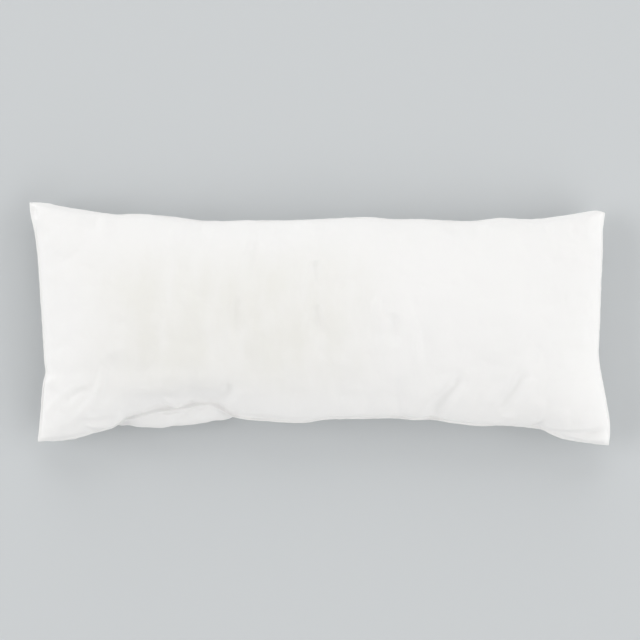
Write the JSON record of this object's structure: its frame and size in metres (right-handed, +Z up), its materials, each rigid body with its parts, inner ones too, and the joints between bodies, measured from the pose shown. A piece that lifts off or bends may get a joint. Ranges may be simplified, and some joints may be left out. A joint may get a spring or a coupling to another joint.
{
  "type": "bench pillow insert",
  "caption": "Long white rectangular pillow insert of two sewn panels, filled with fibre, with a low crown, drawn-in sides and puckered seams.",
  "frame": {"origin": "on the surface that the pillow lies on, under the middle of its box", "axes": "+X along the pillow's length, +Y across it towards its back edge, +Z up out of its face"},
  "size_m": [0.8884, 0.373, 0.1229],
  "materials": {
    "cover": "matte white plain-weave cotton, slightly warm over the filling"
  },
  "bodies": {
    "root": {"pillow": "cover"}
  },
  "joints": []
}
